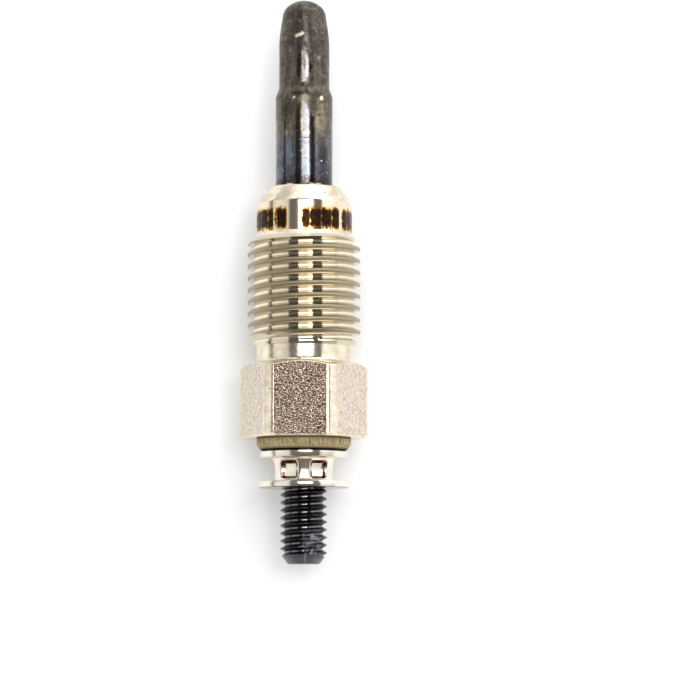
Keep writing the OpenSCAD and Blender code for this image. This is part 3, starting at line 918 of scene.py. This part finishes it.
# Round nut: a turned spool of free-cutting steel, bright nickel plated, pushed on the electrode against
# the washer and crimped with six square punches that leave a ring of dimples in its waist.
nut_rear_r = 4.725 * mm
nut_rear_t = 0.68 * mm
nut_front_r = 4.575 * mm
nut_front_t = 0.72 * mm
nut_seat_r = 4.0 * mm
nut_seat_h = 0.15 * mm
waist_r = 3.25 * mm
waist_fillet = 0.3 * mm
nut_edge = 0.1 * mm
nut_edge_mid = 0.03 * mm
countersink_len = 0.4 * mm
countersink_r = stud_r + 0.15 * mm
waist_pinch = 0.07 * mm
waist_slope = 0.13
dimple_turn = math.radians(4)
dimple_mouth = 2.25 * mm
dimple_floor = 1.25 * mm
dimple_height = 2.05 * mm
dimple_floor_height = 1.2 * mm
dimple_shift = 0.13 * mm
dimple_depth = 0.42 * mm
hollow_width = 3.0 * mm
hollow_depth = 0.1 * mm
waist_rows = 44

waist_low = nut_rear + nut_rear_t
waist_high = nut_front - nut_seat_h - nut_front_t
waist_mid = (waist_low + waist_high) / 2


def waist_profile_r(y):
    """Radius of the waist with its fillets, straight at the rear and widening to the front."""
    reach = max(waist_low + waist_fillet - y, y - waist_high + waist_fillet, 0.0)
    fillet = waist_fillet - math.sqrt(max(waist_fillet ** 2 - reach ** 2, 0.0))
    ahead = y - waist_mid
    cone = waist_slope * (ahead + math.hypot(ahead, 0.2 * mm)) / 2
    return waist_r - waist_pinch + fillet + cone


def dimple(angle, y):
    """Shares of the nearest punch and of the soft hollow drawn in round it, at a spot on the waist."""
    spacing = math.radians(60)
    away = (angle - math.radians(30) - dimple_turn + spacing / 2) % spacing - spacing / 2
    across = abs(away) * waist_r
    up = y - waist_mid
    side = max(0.0, across - dimple_floor / 2) / ((dimple_mouth - dimple_floor) / 2)
    wall = (dimple_height - dimple_floor_height) / 2
    end = max(0.0, up + dimple_shift - dimple_floor_height / 2) / (wall + dimple_shift)
    end = max(end, (-up - dimple_shift - dimple_floor_height / 2) / (wall - dimple_shift))
    punch = smooth(1 - math.hypot(side, end))
    hollow = smooth(1 - math.hypot(across, up) / (hollow_width / 2))
    return punch, hollow


def waist_surface(y):
    """Radius round the waist with its dimples, at one place along it."""
    def at(angle):
        punch, hollow = dimple(angle, y)
        return waist_profile_r(y) - dimple_depth * punch - hollow_depth * hollow
    return at


def nut_stain_and_shade(angle, radius, y):
    """Stains on the dimples' torn end walls, a browner rim on the rear face, and painted shade at the
    washer.
    """
    if y <= nut_rear + 0.05 * mm:
        return 0.6 * smooth((radius - nut_rear_r + 0.4 * mm) / (0.3 * mm))
    # Painted shade: the seat face against the washer is painted near black, for the gap between the parts.
    if y >= waist_high + nut_front_t - 0.01 * mm:
        return 1.0
    if not waist_low < y < waist_high or radius > waist_r + 0.2 * mm:
        return 0.0
    punch = dimple(angle, y)[0]
    return 0.7 * min(1.0, 6 * punch * (1 - punch)) * smooth(abs(y - waist_mid) / (0.45 * mm))


# Bright nickel on free-cutting steel: a white mirror-like metal with a warm cast, stained brown where
# the punches tore the plate on the dimples' walls and browner round the rear face's rim. The seat against
# the washer is painted near black, as painted shade in the gap between the nut and the washer.
bright_nickel, add = new_material("bright_nickel_plate")
place = add("TexCoord", out="Object")
cloud = add("TexNoise", {"Vector": place, "Scale": 1 / (1.5 * mm), "Detail": 4.0})
plate = add("ValToRGB", {"Fac": cloud}, stops=((0.3, "#e2d9c8"), (0.7, "#f0eadf")))
stain_and_shade = add("Attribute", out="Fac", attribute_name="stain_and_shade")
rusty = add("MapRange", {"Value": stain_and_shade, "From Min": 0.0, "From Max": 0.7})
torn = add("Mix", {"Factor": rusty, "A": plate, "B": linear("#5e3a30")}, data_type="RGBA")
# Painted shade: near black on the seat against the washer.
seat_shade = add("MapRange", {"Value": stain_and_shade, "From Min": 0.7, "From Max": 0.95})
torn = add("Mix", {"Factor": seat_shade, "A": torn, "B": linear("#1f1614")}, data_type="RGBA")
fine = add("TexNoise", {"Vector": place, "Scale": 1 / (0.3 * mm), "Detail": 4.0})
plate_bump = add("Bump", {"Height": fine, "Strength": 0.35, "Distance": 0.02 * mm})
mirror_plate = add(
    "BsdfPrincipled", {"Base Color": torn, "Metallic": 1.0, "Roughness": 0.16, "Normal": plate_bump}
)
add("OutputMaterial", {"Surface": mirror_plate})

nut = TurnedPiece(even_angles(360))
first = nut.ring(countersink_r, nut_rear)
waist_rings = []
for row in range(waist_rows + 1):
    y = waist_low + (waist_high - waist_low) * row / waist_rows
    waist_rings.append((waist_surface(y), y))
nut.skin(
    first,
    (nut_rear_r - nut_edge, nut_rear),
    (nut_rear_r - nut_edge_mid, nut_rear + nut_edge_mid),
    (nut_rear_r, nut_rear + nut_edge),
    (nut_rear_r, waist_low - nut_edge),
    (nut_rear_r - nut_edge_mid, waist_low - nut_edge_mid),
    (nut_rear_r - nut_edge, waist_low),
    *waist_rings,
    (nut_front_r - nut_edge, waist_high),
    (nut_front_r - nut_edge_mid, waist_high + nut_edge_mid),
    (nut_front_r, waist_high + nut_edge),
    (nut_front_r, waist_high + nut_front_t - nut_edge),
    (nut_front_r - nut_edge, waist_high + nut_front_t),
    (nut_seat_r, waist_high + nut_front_t),
    (nut_seat_r, nut_front),
    (crimp_r, nut_front),
    (crimp_r, nut_rear + countersink_len),
    first,
)
nut_piece = nut.make("crimped_round_nut", bright_nickel, paint={"stain_and_shade": nut_stain_and_shade})
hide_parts("round_nut")

# Floor: a large sheet of white card that the plug lies on. It is seen as plain white and keeps the plug's
# soft shadow.
floor_half = 0.8


def stage_sheet(name, corners, material):
    """A flat sheet with four corners, as part of the studio."""
    mesh = bpy.data.meshes.new(name)
    mesh.from_pydata(corners, [], [(0, 1, 2, 3)])
    mesh.materials.append(material)
    sheet = bpy.data.objects.new(name, mesh)
    bpy.context.collection.objects.link(sheet)
    return sheet


# White card: a matt white sheet, lifted a little towards plain white where it is seen or mirrored.
card, add = new_material("white_card")
rays = add("LightPath").node
seen = rays.outputs["Is Camera Ray"]
for ray in ("Is Glossy Ray", "Is Transmission Ray"):
    seen = add("Math", {0: seen, 1: rays.outputs[ray]}, operation="MAXIMUM")
lift = add("Math", {0: seen, 1: 0.03}, operation="MULTIPLY")
paper = add("BsdfDiffuse", {"Color": linear("#f4f4f4")})
white = add("Emission", {"Color": linear("#ffffff"), "Strength": 1.0})
lifted = add("MixShader", {"Fac": lift, 1: paper, 2: white})
add("OutputMaterial", {"Surface": lifted})
stage_sheet(
    "white_card",
    [(x * floor_half, y * floor_half, 0) for x, y in ((-1, -1), (1, -1), (1, 1), (-1, 1))],
    card,
)

# Light: a soft lamp overhead with a bright and a dim part, on a dark board in a white room. The board gives
# the plate its dark bands and the lamp its bright middle line.
lamp_height = 0.5
lamp_rear, lamp_front = -0.03, 0.135
for name, left, right, radiance in (
    ("lamp_bright_part", 0.12, 0.215, 7.5),
    ("lamp_dim_part", -0.05, 0.12, 4.0),
    ("lamp_edge", -0.075, -0.05, 5.0),
):
    lamp_data = bpy.data.lights.new(name, "AREA")
    lamp_data.shape = "RECTANGLE"
    lamp_data.size = right - left
    lamp_data.size_y = lamp_front - lamp_rear
    lamp_data.energy = math.pi * lamp_data.size * lamp_data.size_y * radiance
    lamp = bpy.data.objects.new(name, lamp_data)
    lamp.location = ((left + right) / 2, (lamp_rear + lamp_front) / 2, lamp_height)
    lamp.visible_camera = False
    bpy.context.collection.objects.link(lamp)

# Dark felt: a matt grey cloth that only the bright metal mirrors.
felt, add = new_material("dark_felt")
cloth = add("BsdfDiffuse", {"Color": linear("#706c6a")})
add("OutputMaterial", {"Surface": cloth})
board_left, board_right, board_half = -0.33, 0.56, 0.6
board_height = lamp_height + 0.02
skirting_x, skirting_half = -0.7, 0.5
skirting_low, skirting_high = 0.06, 0.15
board = stage_sheet("dark_board", [
    (board_left, -board_half, board_height), (board_right, -board_half, board_height),
    (board_right, board_half, board_height), (board_left, board_half, board_height),
], felt)
skirting = stage_sheet("dark_skirting", [
    (skirting_x, -skirting_half, skirting_low), (skirting_x, skirting_half, skirting_low),
    (skirting_x, skirting_half, skirting_high), (skirting_x, -skirting_half, skirting_high),
], felt)
for sheet in (board, skirting):
    sheet.visible_camera = False
    sheet.visible_diffuse = False

# White room: an even light from all round and two soft windows, each with a direction, a narrowness and
# a radiance.
world = bpy.data.worlds.new("white_room")
bpy.context.scene.world = world
world.use_nodes = True
tree = world.node_tree
add = partial(add_node, tree)
facing = add("TexCoord", out="Generated")
daylight = 0.7
for window, narrowness, radiance in (
    (Vector((0.5, 0.75, 0.45)), 3.0, 2.1),
    (Vector((-0.87, 0.0, 0.5)), 9.0, 0.38),
):
    towards = add("VectorMath", {0: facing, 1: window.normalized()}, operation="DOT_PRODUCT")
    towards = add("Math", {0: towards, 1: 0.0}, operation="MAXIMUM")
    towards = add("Math", {0: towards, 1: narrowness}, operation="POWER")
    daylight = add("Math", {0: towards, 1: radiance, 2: daylight}, operation="MULTIPLY_ADD")
tree.links.new(daylight, tree.nodes["Background"].inputs["Strength"])
tree.nodes["Background"].inputs["Color"].default_value = linear("#ffffff")

# Camera: a lens above the plug, a little to the terminal's side and to the right of its axis. The plug's
# place in the picture, in pixels, and its scale set the aim and the lens.
photo_size = 700
photo_scale = 9.55 / mm
axis_pixel = 303.8
stud_end_pixel = 563.5
camera_distance = 0.31
lean_right = math.radians(3.6)
lean_back = math.radians(4.95)
aim = Vector((
    (photo_size / 2 - axis_pixel) / photo_scale,
    stud_end + (stud_end_pixel - photo_size / 2) / photo_scale,
    axis_z,
))
away = Vector((math.tan(lean_right), -math.tan(lean_back), 1.0))
eye = Vector((0, aim.y, axis_z)) + away * camera_distance
forward = (aim - eye).normalized()
right = forward.cross(Vector((0, 1, 0))).normalized()
up = right.cross(forward)
camera_data = bpy.data.cameras.new("photo_camera")
camera_data.lens = camera_data.sensor_width * (aim - eye).length * photo_scale / photo_size
camera = bpy.data.objects.new("photo_camera", camera_data)
turn = Matrix((right, up, -forward)).transposed()
camera.matrix_world = Matrix.Translation(eye) @ turn.to_4x4()
bpy.context.collection.objects.link(camera)
bpy.context.scene.camera = camera
bpy.context.scene.view_settings.view_transform = "Standard"
